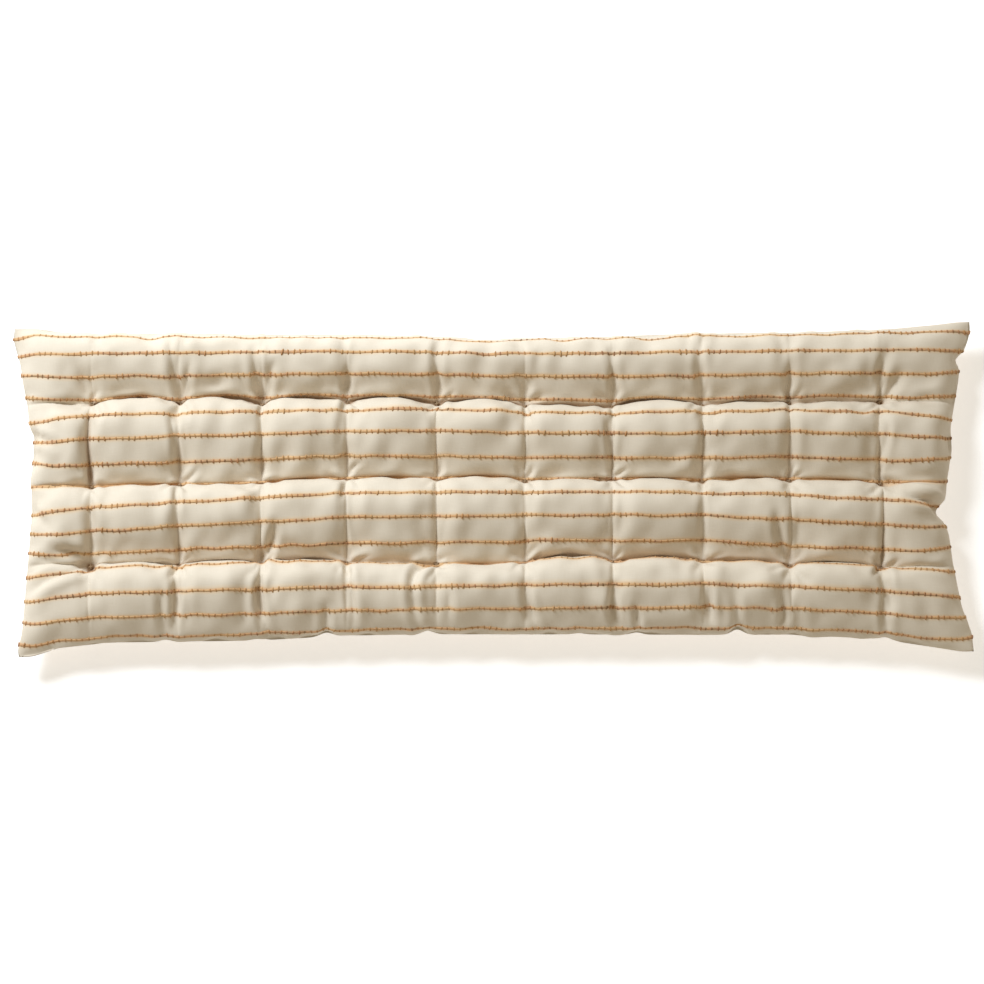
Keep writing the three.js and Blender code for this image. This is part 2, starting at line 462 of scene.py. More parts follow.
def fillCover(points, flat, upper, under, faces):
    # the cloth simulation that relaxes the cover over its filling between the ties
    mesh = newMesh("fillingMesh", points.tolist(), faces.tolist())
    body = newObject("fillingCover", mesh)
    body.shape_key_add(name="filled")
    cutKey = body.shape_key_add(name="cut")
    writeValues(cutKey.data, "co", flat)
    cutKey.value = 0
    group = body.vertex_groups.new(name="held")
    weights = holdGroups(upper, under, len(points))
    for weight in np.unique(weights[weights > 0]):
        group.add([int(point) for point in np.nonzero(weights == weight)[0]], float(weight), "REPLACE")
    cloth = body.modifiers.new("Cloth", "CLOTH")
    settings = cloth.settings
    settings.quality = filling["quality"]
    settings.mass = filling["clothMass"]
    for kind, stiffness in (("tension", "stretch"), ("compression", "stretch"), ("shear", "shear")):
        setattr(settings, kind + "_stiffness", filling[stiffness])
        setattr(settings, kind + "_damping", filling["damping"])
    settings.bending_stiffness = filling["bending"]
    settings.vertex_group_mass = "held"
    settings.pin_stiffness = 1.0
    settings.rest_shape_key = cutKey
    settings.use_pressure = True
    settings.uniform_pressure_force = filling["pressure"]
    settings.effector_weights.gravity = 0
    cloth.collision_settings.use_collision = False
    cloth.collision_settings.use_self_collision = False
    cloth.point_cache.frame_start = 1
    cloth.point_cache.frame_end = filling["frames"]
    for step in range(1, filling["frames"] + 1):
        scene.frame_set(step)
    filled = body.evaluated_get(bpy.context.evaluated_depsgraph_get())
    settled = readValues(filled.data.vertices, "co", 3).astype(float)
    scene.frame_set(1)
    bpy.data.objects.remove(body)
    bpy.data.meshes.remove(mesh)
    return settled


points, flat, woven, spots, upper, under, faces = coverMesh()
points = fillCover(points, flat, upper, under, faces)
print("cover filled")


def smoothCover(points, woven, spots, faces, upper):
    # the panels at twice their grid, with a knife edge at the seam
    mesh = newMesh("roughCover", points.tolist(), faces.tolist())
    corners = readValues(mesh.loops, "vertex_index", kind=np.int32)
    writeValues(mesh.uv_layers.new(name="cloth").data, "uv", woven[corners, :2])
    writeValues(mesh.attributes.new("spot", "FLOAT_VECTOR", "POINT").data, "vector", spots)
    onSeam = np.zeros(len(points), bool)
    onSeam[np.concatenate([upper[0], upper[-1], upper[:, 0], upper[:, -1]])] = True
    ends = readValues(mesh.edges, "vertices", 2, np.int32)
    writeValues(mesh.attributes.new("crease_edge", "FLOAT", "EDGE").data, "value", onSeam[ends].all(axis=1))
    pointed = np.zeros(len(points))
    pointed[upper[[0, 0, -1, -1], [0, -1, 0, -1]]] = 1.0
    writeValues(mesh.attributes.new("crease_vert", "FLOAT", "POINT").data, "value", pointed)
    rough = newObject("roughCover", mesh)
    smoothing = rough.modifiers.new("Subdivision", "SUBSURF")
    smoothing.levels = 1
    smoothing.render_levels = 1
    smoothing.uv_smooth = "NONE"
    return plainMesh(rough, "cushionCover")


# folds of the upper panel seen from above, in millimetres: start, middle, end, depth and width
folds = [
    # x, y, x, y, x, y, depth, width
    (-402, 182, -397, 146, -390, 112, 4.2, 5), (-376, 156, -382, 134, -388, 112, 3.5, 5),
    (-299, 174, -294, 142, -288, 112, 4.2, 5), (-270, 158, -279, 136, -285, 112, 2.8, 5),
    (-520, 156, -510, 133, -500, 109, 3.5, 6), (-500, -97, -520, -84, -543, -80, 7, 6),
    (-500, -100, -532, -107, -574, -128, 7, 6), (-573, 65, -560, 60, -545, 52, 5, 5),
    (-574, -28, -562, -40, -550, -52, 4, 6), (-399, 92, -395, 60, -390, 24, 4, 4),
    (-270, -48, -274, -68, -284, -90, 6, 5), (-394, -104, -392, -139, -396, -175, 6, 5),
    (-410, -139, -409, -158, -405, -179, 4, 5), (-284, -104, -289, -139, -279, -180, 7, 5),
    (-181, -100, -175, -133, -171, -166, 5, 5), (-206, -150, -206, -166, -206, -183, 4, 5),
    (-69, -96, -97, -112, -92, -175, 7, 5), (-55, -122, -54, -145, -54, -165, 3, 5),
    (41, -122, 44, -145, 55, -173, 5, 5), (152, -124, 150, -152, 158, -173, 5, 5),
    (176, -152, 180, -164, 183, -174, 5, 4), (32, 137, 39, 120, 42, 109, 2.8, 5),
    (145, 175, 151, 140, 153, 112, 3.5, 5), (-72, 167, -68, 140, -66, 112, 2.8, 5),
    (145, 82, 146, 60, 148, 38, 4, 4), (266, 193, 259, 165, 261, 112, 3.5, 5),
    (374, 162, 371, 135, 373, 106, 2.8, 5), (511, 144, 496, 122, 484, 106, 4.9, 6),
    (496, 173, 486, 148, 485, 130, 2.8, 5), (491, 76, 490, 60, 487, 40, 5, 4),
    (562, -27, 543, -17, 519, -11, 13, 6), (478, -102, 490, -128, 496, -153, 5, 5),
    (520, -130, 535, -146, 545, -160, 3, 7), (351, -38, 360, -70, 371, -93, 6, 5),
    (266, -124, 268, -145, 271, -166, 6, 5), (298, -133, 303, -155, 305, -178, 4, 5),
    (357, -133, 362, -155, 360, -171, 6, 5), (486, -150, 488, -167, 490, -184, 4, 5),
]

# puckers of the seam, in millimetres: place, push and reach
puckers = [
    # x, y, push x, push y, reach
    (-574, 66, 4, 0, 8), (-206, -186, 0, 5, 11), (-81, -185, 0, 5, 11), (305, -185, 0, 7, 10),
    (-290, -192, 0, 3, 10), (-8, 194, 0, -3, 22), (588, 164, -7, 0, 8), (562, -29, -7, 0, 13),
    (-405, -193, 0, 3, 9), (105, -185, 0, 2, 12), (490, -190, 0, 3, 10), (180, -185, 0, 3, 9),
    (400, -185, 0, -2, 14),
]

# what a user would change on the channels and folds, in metres unless it says otherwise
fold = {
    "grooveWidth": 0.0044,
    "grooveLimit": 0.75,       # a channel is drawn in by this share of the height at most
    "rowEnds": 0.5,            # powers that close the channels towards the ties
    "columnEnds": 0.7,
    "ridge": 0.45,
    "troughPower": 1.15,
    "taperPower": 0.7,
    "taperEnds": 0.06,
    "pathSteps": 40,
    # width, sides, power, depth and limit of the painted shade along the channels, in the folds and round the
    # ties
    "shadeWidth": 0.0095,
    "shadeSides": (0.4, 0.6),  # share of that width in front of a crease and beside a channel
    "shadePower": 1.6,
    "shadeDepth": 0.009,
    "shadeLimit": 1.2,
    "foldShade": 0.4,
    "tieShadeWidth": 0.0062,
    "tieShade": 2.0,
    "gathers": 5,              # short folds round each tie, sizes in millimetres
    "gatherStart": 3.0,
    "gatherLength": 30.0,
    "gatherDepth": 3.4,
    "gatherWidths": (2.5, 4.5),
    "gatherTurn": 0.25,        # how far their angles and their bends stray
    "gatherBend": 0.3,
    "crumple": 0.0010,
    "crumpleGrid": (256, 96),
    "crumpleSpread": 60.0,
    "seed": 12,
}


def channels(spots, backWidth, frontWidth, columnWidth, power, atTies):
    # how far the cloth is drawn in along the sewn channels, and the same for the painted shade along them
    rowPitch = cover["clothWidth"] / 4
    lines = cover["clothEnd"] + cover["clothLength"] * np.arange(columnCount)
    edges = np.concatenate([[0.0], lines, [lines[-1] + cover["clothEnd"]]])
    cell = np.clip(np.searchsorted(edges, spots[:, 0], side="right") - 1, 0, columnCount)
    segment = np.clip((spots[:, 1] / rowPitch).astype(int), 0, 3)
    shareX = np.clip((spots[:, 0] - edges[cell]) / (edges[cell + 1] - edges[cell]), 0, 1)
    shareY = np.clip(spots[:, 1] / rowPitch - segment, 0, 1)
    rowShare = mix(np.sin(math.pi * shareX) ** fold["rowEnds"], 1.0, atTies)
    placeY = shareY ** channelPowers[segment]
    columnShare = np.sin(math.pi * placeY) ** fold["columnEnds"]
    depth = np.zeros(len(spots))
    for level, row in enumerate(rowNames, start=1):
        away = spots[:, 1] - level * rowPitch
        away = np.where(away > 0, away / backWidth, -away / frontWidth)
        strength = np.array(rowGrooves[row])[cell] * rowShare
        depth = np.maximum(depth, strength * np.exp(-away ** power))
    for column, line in enumerate(lines, start=1):
        away = np.abs(spots[:, 0] - line) / columnWidth
        strength = np.array(columnGrooves[column])[segment] * columnShare * channelStrengths[segment]
        depth = np.maximum(depth, strength * np.exp(-away ** power))
    return depth / 1000


def tieShade(spots):
    # painted shade round the ties, where hardly any light reaches
    shade = np.zeros(len(spots))
    for column in range(columnCount):
        for row in range(1, len(rowNames) + 1):
            x = cover["clothEnd"] + cover["clothLength"] * column
            y = cover["clothWidth"] / 4 * row
            away = np.hypot(spots[:, 0] - x, spots[:, 1] - y) / fold["tieShadeWidth"]
            shade = np.maximum(shade, np.exp(-away ** 2))
    return shade


def foldDepth(places, row):
    # one fold: a soft trough along a curve, with a low ridge on each side
    start, middle, end = [np.array(row[at:at + 2]) / 1000 for at in (0, 2, 4)]
    depth, width = row[6] / 1000, row[7] / 1000
    low = np.minimum(np.minimum(start, middle), end) - 5 * width
    high = np.maximum(np.maximum(start, middle), end) + 5 * width
    near = np.nonzero(((places[:, :2] > low) & (places[:, :2] < high)).all(axis=1))[0]
    away = np.full(len(near), np.inf)
    share = np.zeros(len(near))
    control = 2 * middle - (start + end) / 2
    for step in range(fold["pathSteps"] + 1):
        at = step / fold["pathSteps"]
        spot = (1 - at) ** 2 * start + 2 * at * (1 - at) * control + at ** 2 * end
        reach = np.hypot(places[near, 0] - spot[0], places[near, 1] - spot[1])
        share = np.where(reach < away, at, share)
        away = np.minimum(away, reach)
    alongFold = mix(fold["taperEnds"], 1 - fold["taperEnds"], share)
    taper = np.sin(math.pi * np.clip(alongFold, 0, 1)) ** fold["taperPower"]
    trough = np.exp(-(away / width) ** fold["troughPower"])
    ridge = fold["ridge"] * np.exp(-((away - 2 * width) / (1.1 * width)) ** 2)
    pressed = np.zeros(len(places))
    pressed[near] = depth * taper * (trough - ridge)
    return pressed


def tieGathers():
    # short folds that run out from each tie, a few at uneven angles
    random = np.random.default_rng(fold["seed"])
    spread, bending = fold["gatherTurn"], fold["gatherBend"]
    rows = []
    for name in rowNames:
        for column in range(1, columnCount + 1):
            place = tiePlace(name, column)[:2] * 1000
            turn = random.uniform(0, 2 * math.pi)
            for number in range(fold["gathers"]):
                angle = turn + 2 * math.pi * (number + random.uniform(-spread, spread)) / fold["gathers"]
                length = random.uniform(0.5, 1.0) * fold["gatherLength"]
                bend = angle + random.uniform(-bending, bending)
                way = np.array([math.cos(angle), math.sin(angle)])
                side = np.array([math.cos(bend), math.sin(bend)])
                rows.append((
                    *(place + fold["gatherStart"] * way),
                    *(place + 0.5 * length * way),
                    *(place + length * side),
                    random.uniform(0.4, 1.0) * fold["gatherDepth"], random.uniform(*fold["gatherWidths"]),
                ))
    return rows


def crumpled(spots):
    # small waves of the cloth, read from a soft grid of noise
    rough = softNoise(fold["crumpleGrid"], fold["crumpleSpread"], np.random.default_rng(fold["seed"]))
    lastRow, lastColumn = rough.shape[0] - 1, rough.shape[1] - 1
    rows = spots[:, 0] / spots[:, 0].max() * lastRow
    columns = spots[:, 1] / spots[:, 1].max() * lastColumn
    i, j = rows.astype(int).clip(0, lastRow - 1), columns.astype(int).clip(0, lastColumn - 1)
    s, t = softStep(rows - i), softStep(columns - j)
    low = mix(rough[i, j], rough[i + 1, j], s)
    high = mix(rough[i, j + 1], rough[i + 1, j + 1], s)
    return mix(low, high, t) * fold["crumple"]


def foldCover(mesh):
    # channels and folds pressed into the filled cover, and their painted shade for the cloth's colour
    places = readValues(mesh.vertices, "co", 3).astype(float)
    normals = readValues(mesh.vertex_normals, "vector", 3).astype(float)
    spots = readValues(mesh.attributes["spot"].data, "vector", 3).astype(float)
    width = fold["grooveWidth"]
    groove = channels(spots, width, width, width, 1.0, 0.0)
    groove = np.minimum(groove, fold["grooveLimit"] * np.abs(places[:, 2]))
    folded = np.zeros(len(places))
    for row in folds + tieGathers():
        folded += foldDepth(places, row)
    folded += crumpled(spots)
    folded *= spots[:, 2] > 0.01
    moved = places - normals * folded[:, None]
    moved[:, 2] -= groove * np.sign(spots[:, 2])
    for x, y, pushX, pushY, reach in puckers:
        away = np.hypot(places[:, 0] - x / 1000, places[:, 1] - y / 1000)
        share = np.exp(-(away / (reach / 1000)) ** 2)
        moved[:, 0] += pushX / 1000 * share
        moved[:, 1] += pushY / 1000 * share
    # the underside is pressed flat where it rests
    depth = -moved[:, 2]
    limit, blend = cover["seamHeight"] - cover["yarnRoom"], cover["restBlend"]
    over = np.clip(depth - limit, -blend, blend)
    soft = limit - (blend - over) ** 2 / (4 * blend)
    moved[:, 2] = np.where(depth > limit - blend, -soft, moved[:, 2])
    moved[:, 2] += cover["seamHeight"]
    writeValues(mesh.vertices, "co", moved)
    # painted shade: how far the cloth's colour is darkened in the channels, the folds and round the ties
    width = fold["shadeWidth"]
    frontShade, columnShade = fold["shadeSides"]
    shaded = channels(spots, width, frontShade * width, columnShade * width, fold["shadePower"], 1.0)
    shade = (shaded + fold["foldShade"] * np.maximum(folded, 0)) / fold["shadeDepth"]
    shade = np.maximum(np.clip(shade, 0, fold["shadeLimit"]), fold["tieShade"] * tieShade(spots))
    writeValues(mesh.attributes.new("creaseShade", "FLOAT", "POINT").data, "value", shade)
    shadeSmooth(mesh)
    mesh.update()
    return moved, spots


coverBody = smoothCover(points, woven, spots, faces, upper)
finePoints, fineSpots = foldCover(coverBody)
coverPiece = newObject("cushionCover", coverBody)
print("cover made,", len(coverPiece.data.polygons), "faces")

# woven yarn stripes

# what a user would change on the stripes, in metres
stripe = {
    "cordStep": 0.0036,        # the yarn lies on the cloth as a flattened cord
    "cordWidth": 0.0033,
    "cordHeight": 0.0009,
    "cordSides": 6,
    "cordSpread": (0.42, 0.58),
    "knotPitch": 0.0075,       # with a knot every so often
    "knotLength": 0.0026,
    "knotWidth": 0.0056,
    "knotHeight": 0.0023,
    "knotSpread": (0.35, 0.65),
    "knotTurn": (0.20, 0.20, 0.30),
    "knotGrid": (8, 4),        # segments and rings of a knot
    "stray": 0.0008,           # how far a knot strays along the cord
    "coreWidth": 0.0042,       # the yarn painted into the cloth
    "coreEdge": 0.0013,
    "coreStray": 0.0006,
    "haloWidth": 0.0068,       # loose fibres beside it
    "haloShare": 0.5,
    "slub": 0.40,              # how far the yarn swells, how quickly, and its thinnest share
    "slubScale": 38.0,
    "slubSwing": 4.0,
    "slubLeast": 0.5,
    "seed": 5,
}


def fineGrid(side):
    # the points of one smoothed panel in the order of their grid
    def halved(lines):
        return np.interp(np.arange(0, len(lines) - 0.5, 0.5), np.arange(len(lines)), lines)

    def lineOf(values, lines):
        return np.searchsorted((lines[1:] + lines[:-1]) / 2, values)

    linesU = halved(spots[upper[:, 0], 0])
    linesV = halved(spots[upper[0], 1])
    mine = np.nonzero(fineSpots[:, 2] * side > -0.01)[0]
    grid = np.zeros((len(linesU), len(linesV)), int)
    grid[lineOf(fineSpots[mine, 0], linesU), lineOf(fineSpots[mine, 1], linesV)] = mine
    return grid


def fineCloth():
    # cloth coordinates of the smoothed points
    mesh = coverPiece.data
    cloth = np.zeros((len(mesh.vertices), 2))
    corners = readValues(mesh.loops, "vertex_index", kind=np.int32)
    cloth[corners] = readValues(mesh.uv_layers["cloth"].data, "uv", 2)
    return cloth


def stripePaths(side, name):
    # one curve for each stripe, along a line of equal cloth width
    curves = bpy.data.curves.new(name, "CURVE")
    curves.dimensions = "3D"
    cloth = fineCloth()
    grid = fineGrid(side)
    for number in range(stripeCount):
        level = number * cover["stripePitch"]
        path = []
        for line in grid:
            path.append([np.interp(level, cloth[line, 1], finePoints[line, axis]) for axis in range(3)])
        spline = curves.splines.new("POLY")
        spline.points.add(len(path) - 1)
        for point, place in zip(spline.points, path):
            point.co = (*place, 1)
    return newObject(name, curves)


def linkNode(tree, kind, inputs=None, **values):
    # a new node with its own values, its inputs linked to sockets or set
    made = tree.nodes.new(kind)
    for key, value in values.items():
        setattr(made, key, value)
    for key, value in (inputs or {}).items():
        if isinstance(value, bpy.types.NodeSocket):
            tree.links.new(value, made.inputs[key])
        else:
            made.inputs[key].default_value = value
    return made


def calculate(tree, operation, *values):
    return linkNode(tree, "ShaderNodeMath", dict(enumerate(values)), operation=operation).outputs[0]


def addSocket(tree, name, kind, value=None, way="INPUT"):
    socket = tree.interface.new_socket(name=name, in_out=way, socket_type="NodeSocket" + kind)
    if value is not None:
        socket.default_value = value


def yarnTree():
    # a cord with knots, along each stripe and flat on the cloth
    tree = bpy.data.node_groups.new("stripeYarn", "GeometryNodeTree")
    addSocket(tree, "Geometry", "Geometry")
    addSocket(tree, "Geometry", "Geometry", way="OUTPUT")
    addSocket(tree, "Cover", "Object")
    for kind, measures in (("Cord", "Step Width Height"), ("Knot", "Pitch Length Width Height")):
        for measure in measures.split():
            addSocket(tree, f"{kind} {measure}", "Float", stripe[kind.lower() + measure])
    addSocket(tree, "Stray", "Float", stripe["stray"])
    addSocket(tree, "Slub", "Float", stripe["slub"])
    addSocket(tree, "Seed", "Int", stripe["seed"])
    addSocket(tree, "Yarn", "Material")
    given = linkNode(tree, "NodeGroupInput").outputs

    def made(kind, inputs=None, output=0, **values):
        return linkNode(tree, kind, inputs, **values).outputs[output]

    def randomValue(low, high, vector=False):
        first = 0 if vector else 2
        kind = "FLOAT_VECTOR" if vector else "FLOAT"
        inputs = {first: low, first + 1: high, "Seed": given["Seed"]}
        return made("FunctionNodeRandomValue", inputs, 0 if vector else 1, data_type=kind)

    def scaled(name, share):
        return calculate(tree, "MULTIPLY", given[name], share)

    surface = made("GeometryNodeObjectInfo", {"Object": given["Cover"]}, "Geometry")
    position = made("GeometryNodeInputPosition")
    onCover = {"Geometry": surface, "Sample Position": position}
    nearest = made("GeometryNodeProximity", onCover, "Position", target_element="FACES")
    facing = {"Mesh": surface, "Value": made("GeometryNodeInputNormal"), "Sample Position": position}
    normal = made("GeometryNodeSampleNearestSurface", facing, "Value", data_type="FLOAT_VECTOR")

    # slubs: slow swells along the yarn
    swellInputs = {"Scale": stripe["slubScale"], "Detail": 3.0, "Vector": position}
    swell = made("ShaderNodeTexNoise", swellInputs, noise_dimensions="3D")
    swing = calculate(tree, "MULTIPLY", calculate(tree, "SUBTRACT", swell, 0.5), stripe["slubSwing"])
    swelling = calculate(tree, "ADD", calculate(tree, "MULTIPLY", swing, given["Slub"]), 1.0)
    thickness = calculate(tree, "MAXIMUM", swelling, stripe["slubLeast"])

    # each piece lies along the stripe, flat on the cloth
    tangent = made("GeometryNodeInputTangent", None, "Tangent")
    alongStripe = made("FunctionNodeAlignRotationToVector", {"Vector": tangent}, "Rotation", axis="X")
    rolled = {"Rotation": alongStripe, "Vector": normal}
    offCloth = made("FunctionNodeAlignRotationToVector", rolled, "Rotation", axis="Z", pivot_axis="X")

    def spaced(length, stray):
        # points along the stripes, moved onto the cloth
        apart = {"Curve": given["Geometry"], "Length": given[length]}
        resampled = made("GeometryNodeResampleCurve", apart, "Curve", mode="LENGTH")
        strayed = calculate(tree, "MULTIPLY", randomValue(-1.0, 1.0), stray)
        away = made("ShaderNodeVectorMath", {0: tangent, "Scale": strayed}, operation="SCALE")
        moved = made("GeometryNodeSetPosition", {"Geometry": resampled, "Offset": away})
        return made("GeometryNodeSetPosition", {"Geometry": moved, "Position": nearest})

    def stored(geometry, name, value, domain):
        inputs = {"Name": name, "Geometry": geometry, "Value": value}
        return made("GeometryNodeStoreNamedAttribute", inputs, "Geometry", data_type="FLOAT", domain=domain)

    # the cord: a round section swept along the stripe, then flattened towards the cloth
    toned = stored(spaced("Cord Step", 0.0), "floatTone", randomValue(0.0, 1.0), "POINT")
    swelled = calculate(tree, "MULTIPLY", thickness, randomValue(*stripe["cordSpread"]))
    rounding = {"Resolution": stripe["cordSides"], "Radius": 1.0}
    section = made("GeometryNodeCurvePrimitiveCircle", rounding, "Curve")
    width = scaled("Cord Width", swelled)
    sweeping = {"Fill Caps": True, "Curve": toned, "Scale": width, "Profile Curve": section}
    swept = made("GeometryNodeCurveToMesh", sweeping, "Mesh")
    flatness = calculate(tree, "DIVIDE", given["Cord Height"], given["Cord Width"])
    flatter = made("ShaderNodeMix", {0: flatness, 4: nearest, 5: position}, 1, data_type="VECTOR")
    cord = made("GeometryNodeSetPosition", {"Geometry": swept, "Position": flatter})

    # the knots: small balls drawn out across the cord
    segments, rings = stripe["knotGrid"]
    ball = made("GeometryNodeMeshUVSphere", {"Radius": 1.0, "Segments": segments, "Rings": rings}, "Mesh")
    marked = stored(ball, "floatShare", made("ShaderNodeSeparateXYZ", {0: position}, "Y"), "POINT")
    most = stripe["knotTurn"]
    turn = made("FunctionNodeEulerToRotation", {"Euler": randomValue([-angle for angle in most], most, True)})
    turning = {"Rotation": offCloth, "Rotate By": turn}
    turned = made("FunctionNodeRotateRotation", turning, "Rotation", rotation_space="LOCAL")
    swelled = calculate(tree, "MULTIPLY", thickness, randomValue(*stripe["knotSpread"]))
    size = made("ShaderNodeCombineXYZ", {
        "X": scaled("Knot Length", 0.5),
        "Y": scaled("Knot Width", swelled),
        "Z": scaled("Knot Height", swelled),
    }, "Vector")
    seats = spaced("Knot Pitch", given["Stray"])
    placing = {"Points": seats, "Instance": marked, "Rotation": turned, "Scale": size}
    knots = made("GeometryNodeInstanceOnPoints", placing, "Instances")
    knots = stored(knots, "floatTone", randomValue(0.0, 1.0), "INSTANCE")
    knots = stored(knots, "knot", 1.0, "INSTANCE")

    both = linkNode(tree, "GeometryNodeJoinGeometry")
    for part in (cord, knots):
        tree.links.new(part, both.inputs[0])
    plain = made("GeometryNodeRealizeInstances", {"Geometry": both.outputs[0]})
    smooth = made("GeometryNodeSetShadeSmooth", {"Geometry": plain})
    finished = made("GeometryNodeSetMaterial", {"Geometry": smooth, "Material": given["Yarn"]})
    linkNode(tree, "NodeGroupOutput", {"Geometry": finished})
    return tree


def inputKey(tree, name):
    return next(item.identifier for item in tree.interface.items_tree
                if item.name == name and item.in_out == "INPUT")


def newMaterial(name):
    material = bpy.data.materials.new(name)
    material.use_nodes = True
    return material, material.node_tree, material.node_tree.nodes["Principled BSDF"]


def colourRamp(tree, factor, stops):
    ramp = linkNode(tree, "ShaderNodeValToRGB", {"Fac": factor})
    elements = ramp.color_ramp.elements
    while len(elements) < len(stops):
        elements.new(0.5)
    for element, (place, colour) in zip(elements, stops):
        element.position = place
        element.color = (*colour, 1)
    return ramp.outputs["Color"]


yarnColours = {
    "ochre": (0.64, 0.410, 0.200),
    "orange": (0.59, 0.305, 0.125),
    "russet": (0.50, 0.250, 0.140),
    "bark": (0.24, 0.138, 0.072),
    "core": (0.68, 0.470, 0.275),
    "halo": (0.80, 0.60, 0.380),
}
clothColours = {
    "thin": (0.700, 0.625, 0.515),
    "full": (0.760, 0.692, 0.590),
    # crease and pit are painted shade: the colours the cloth is darkened to in the channels and round the
    # ties
    "crease": (0.36, 0.205, 0.095),
    "pit": (0.15, 0.085, 0.045),
}
threadColours = {"dark": (0.26, 0.170, 0.095), "light": (0.42, 0.30, 0.18)}

# how strongly the painted shade colours cover the cloth: shade where it starts and ends, largest share
creaseShadeCover = (0.3, 1.5, 0.9)
pitShadeCover = (1.0, 2.0, 0.85)

# how finely the surfaces are broken up, in waves to the metre
grain = {
    "warp": (1500, 60, 1),
    "weft": (60, 1500, 1),
    "cloud": (18, 18, 1),
    "dye": (16, 90, 40),
    "yarn": 2600.0,
    "thread": 900.0,
    "depth": 0.0004,           # of the bumps, in metres
}
surfaces = {
    # strength of the bumps, roughness, specular level, sheen
    "cloth": (0.2, 0.92, 0.15, 0.05),
    "yarn": (0.5, 0.9, 0.2, 0.0),
    "thread": (0.5, 0.85, 0.5, 0.0),
}

# shares of colour in the yarn
dye = {
    "tone": 0.2,               # how far the knots differ from each other
    "pale": 0.45,
    "dark": 0.35,
    "tip": 0.35,
    "tipFrom": 0.4,
}


def mixColours(tree, share, first, second):
    mixed = linkNode(tree, "ShaderNodeMix", {"Factor": share}, data_type="RGBA")
    for number, colour in ((6, first), (7, second)):
        if isinstance(colour, tuple):
            mixed.inputs[number].default_value = (*colour, 1)
        else:
            tree.links.new(colour, mixed.inputs[number])
    return mixed.outputs[2]


def ranged(tree, value, low, high, start=0.0, end=1.0, kind="LINEAR"):
    # start where the value is low, end where it is high
    inputs = {"Value": value, "From Min": low, "From Max": high, "To Min": start, "To Max": end}
    return linkNode(tree, "ShaderNodeMapRange", inputs, interpolation_type=kind).outputs[0]


def noiseTexture(tree, vector, scale, detail):
    if isinstance(scale, tuple):
        vector = linkNode(tree, "ShaderNodeMapping", {"Vector": vector, "Scale": scale}).outputs[0]
        scale = 1.0
    inputs = {"Vector": vector, "Scale": scale, "Detail": detail}
    return linkNode(tree, "ShaderNodeTexNoise", inputs).outputs[0]


def attributeShare(tree, name):
    return linkNode(tree, "ShaderNodeAttribute", attribute_name=name).outputs["Fac"]


def dress(tree, shader, name, colour, height):
    # colour, fine bumps and gloss of a surface
    strength, roughness, specular, sheen = surfaces[name]
    bumps = {"Height": height, "Strength": strength, "Distance": grain["depth"]}
    bump = linkNode(tree, "ShaderNodeBump", bumps)
    tree.links.new(colour, shader.inputs["Base Color"])
    tree.links.new(bump.outputs[0], shader.inputs["Normal"])
    for key, value in (("Roughness", roughness), ("Specular IOR Level", specular), ("Sheen Weight", sheen)):
        shader.inputs[key].default_value = value


def yarnMaterial():
    # space-dyed yarn: long changes of colour, with each knot a little different
    material, tree, shader = newMaterial("stripeYarn")
    place = linkNode(tree, "ShaderNodeTexCoord").outputs["Object"]
    spread = calculate(tree, "MULTIPLY", attributeShare(tree, "floatTone"), dye["tone"])
    shade = calculate(tree, "ADD", noiseTexture(tree, place, grain["dye"], 3.0), spread)
    dyed = colourRamp(tree, shade, [
        (0.38, yarnColours["bark"]), (0.50, yarnColours["russet"]),
        (0.60, yarnColours["orange"]), (0.76, yarnColours["ochre"]),
    ])
    # the turns between the knots are paler, the knots darker and ochre at their tips
    pale = mixColours(tree, dye["pale"], dyed, yarnColours["core"])
    dark = mixColours(tree, dye["dark"], dyed, yarnColours["bark"])
    dyed = mixColours(tree, attributeShare(tree, "knot"), pale, dark)
    away = calculate(tree, "ABSOLUTE", attributeShare(tree, "floatShare"))
    tip = ranged(tree, away, dye["tipFrom"], 1.0, 0.0, dye["tip"])
    tipped = mixColours(tree, tip, dyed, yarnColours["ochre"])
    dress(tree, shader, "yarn", tipped, noiseTexture(tree, place, grain["yarn"], 2.0))
    return material


def stripeBand(tree, cloth, fuzz):
    # the share of stripe yarn and of loose fibres at each place of the cloth
    width = linkNode(tree, "ShaderNodeSeparateXYZ", {0: cloth}).outputs["Y"]
    nearest = calculate(tree, "PINGPONG", width, cover["stripePitch"] / 2)
    uneven = ranged(tree, fuzz, 0.0, 1.0, -stripe["coreStray"], stripe["coreStray"])
    away = calculate(tree, "ADD", nearest, uneven)
    core = stripe["coreWidth"] / 2
    band = ranged(tree, away, core + stripe["coreEdge"], core - stripe["coreEdge"])
    fibres = ranged(tree, away, stripe["haloWidth"], core, 0.0, stripe["haloShare"], "SMOOTHSTEP")
    return band, fibres


def clothMaterial():
    # plain woven cotton: fine warp and weft threads, uneven in thickness and tone
    material, tree, shader = newMaterial("wovenCotton")
    cloth = linkNode(tree, "ShaderNodeUVMap", uv_map="cloth").outputs[0]
    warp = noiseTexture(tree, cloth, grain["warp"], 2.0)
    weft = noiseTexture(tree, cloth, grain["weft"], 2.0)
    threads = calculate(tree, "ADD", warp, weft)
    toned = calculate(tree, "ADD", threads, noiseTexture(tree, cloth, grain["cloud"], 4.0))
    plain = mixColours(tree, ranged(tree, toned, 1.0, 2.0), clothColours["thin"], clothColours["full"])
    band, fibres = stripeBand(tree, cloth, warp)
    fibrous = mixColours(tree, fibres, plain, yarnColours["halo"])
    striped = mixColours(tree, band, fibrous, yarnColours["core"])
    # painted shade: little light reaches the cloth in the channels and round the ties, and what does is warm,
    # so the cloth's colour is darkened and warmed there on top of the real shadow of the grooves
    crease, shaded = attributeShare(tree, "creaseShade"), striped
    for name, (low, high, most) in (("crease", creaseShadeCover), ("pit", pitShadeCover)):
        shaded = mixColours(tree, ranged(tree, crease, low, high, 0.0, most), shaded, clothColours[name])
    dress(tree, shader, "cloth", shaded, threads)
    return material


